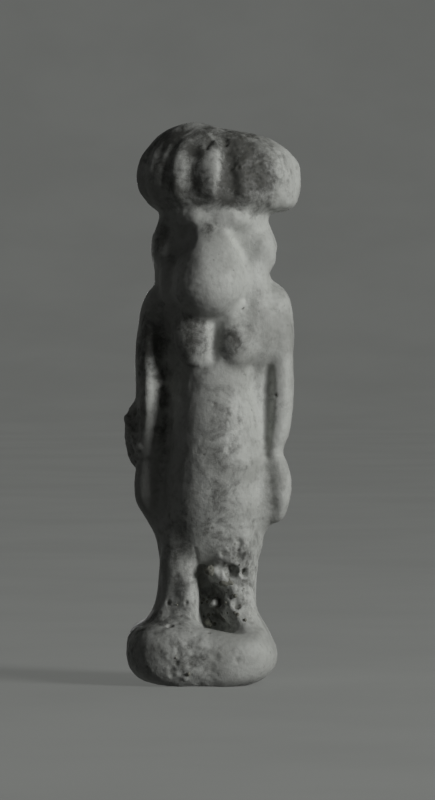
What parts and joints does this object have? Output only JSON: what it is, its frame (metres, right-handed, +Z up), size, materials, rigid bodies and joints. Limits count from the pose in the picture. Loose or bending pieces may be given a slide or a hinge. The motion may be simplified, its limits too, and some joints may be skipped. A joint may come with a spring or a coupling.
{
  "type": "standing figurine",
  "caption": "Small worn moulded figurine of a standing animal-headed figure with a low feather crown, arms at its sides, a back pillar and a rounded base.",
  "frame": {"origin": "middle of the object's box on the underside of the base, on the surface it stands on", "axes": "+Z up, -Y the way the figure faces, +X to the right as seen from the front"},
  "size_m": [0.0119, 0.0114, 0.038],
  "materials": {
    "faience": "matte"
  },
  "bodies": {
    "root": {"figurine": "faience"}
  },
  "joints": []
}
